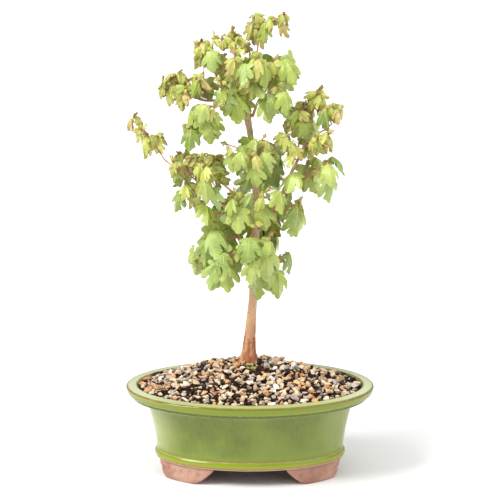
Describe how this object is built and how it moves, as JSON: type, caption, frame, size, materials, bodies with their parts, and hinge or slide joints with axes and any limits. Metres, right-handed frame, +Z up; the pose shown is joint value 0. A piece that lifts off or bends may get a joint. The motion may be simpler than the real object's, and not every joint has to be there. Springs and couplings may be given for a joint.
{
  "type": "potted bonsai tree",
  "caption": "Field maple bonsai with a slender leaning trunk and an open crown of hanging lobed leaves, in an oval green glazed pot on clay feet.",
  "frame": {"origin": "middle of the pot's oval footprint, on the surface that its feet stand on", "axes": "+Z up, +X along the pot's long axis to the viewer's right, +Y away from the viewer"},
  "size_m": [0.254, 0.172, 0.4742],
  "materials": {
    "glazed_pot": "glossy olive to yellow-green glaze that breaks brown on the edges of the lip",
    "unglazed_feet": "matte unglazed terracotta",
    "gravel_bed": "matte mixed gravel over dark soil",
    "trunk_bark": "smooth tan bark with small lenticels",
    "young_bark": "smooth red-brown bark of young shoots",
    "maple_leaf": "soft matte to satin leaf green"
  },
  "bodies": {
    "root": {"pot": "glazed_pot", "foot_1": "unglazed_feet", "foot_2": "unglazed_feet", "foot_3": "unglazed_feet", "foot_4": "unglazed_feet", "soil": "gravel_bed", "trunk": "trunk_bark", "leader": "trunk_bark", "bough_back_high": "young_bark", "bough_back_low": "young_bark", "bough_back_mid": "young_bark", "bough_crown_left": "young_bark", "bough_far_left": "young_bark", "bough_low_left": "young_bark", "bough_right": "young_bark", "bough_right_out": "young_bark", "bough_right_up": "young_bark", "bough_second": "young_bark", "bough_upper_left": "young_bark", "bough_upper_right": "young_bark", "foliage_back_left": "maple_leaf", "foliage_back_low_left": "maple_leaf", "foliage_back_low_right": "maple_leaf", "foliage_back_mid": "maple_leaf", "foliage_back_right": "maple_leaf", "foliage_back_upper": "maple_leaf", "foliage_crown_left_inner": "maple_leaf", "foliage_crown_left_low": "maple_leaf", "foliage_crown_left_mid": "maple_leaf", "foliage_crown_left_outer": "maple_leaf", "foliage_far_left": "maple_leaf", "foliage_fork_right": "maple_leaf", "foliage_leader_left": "maple_leaf", "foliage_leader_tip": "maple_leaf", "foliage_left_hanging": "maple_leaf", "foliage_low_front": "maple_leaf", "foliage_low_left": "maple_leaf", "foliage_low_right": "maple_leaf", "foliage_mid_front": "maple_leaf", "foliage_right_inner": "maple_leaf", "foliage_right_low": "maple_leaf", "foliage_right_mid": "maple_leaf", "foliage_right_tip": "maple_leaf", "foliage_right_wing": "maple_leaf", "foliage_right_young": "maple_leaf", "foliage_top": "maple_leaf", "foliage_trunk_front": "maple_leaf", "foliage_upper_front": "maple_leaf", "foliage_upper_left": "maple_leaf", "foliage_upper_right": "maple_leaf", "foliage_young_inner": "maple_leaf", "foliage_young_outer": "maple_leaf"}
  },
  "joints": []
}
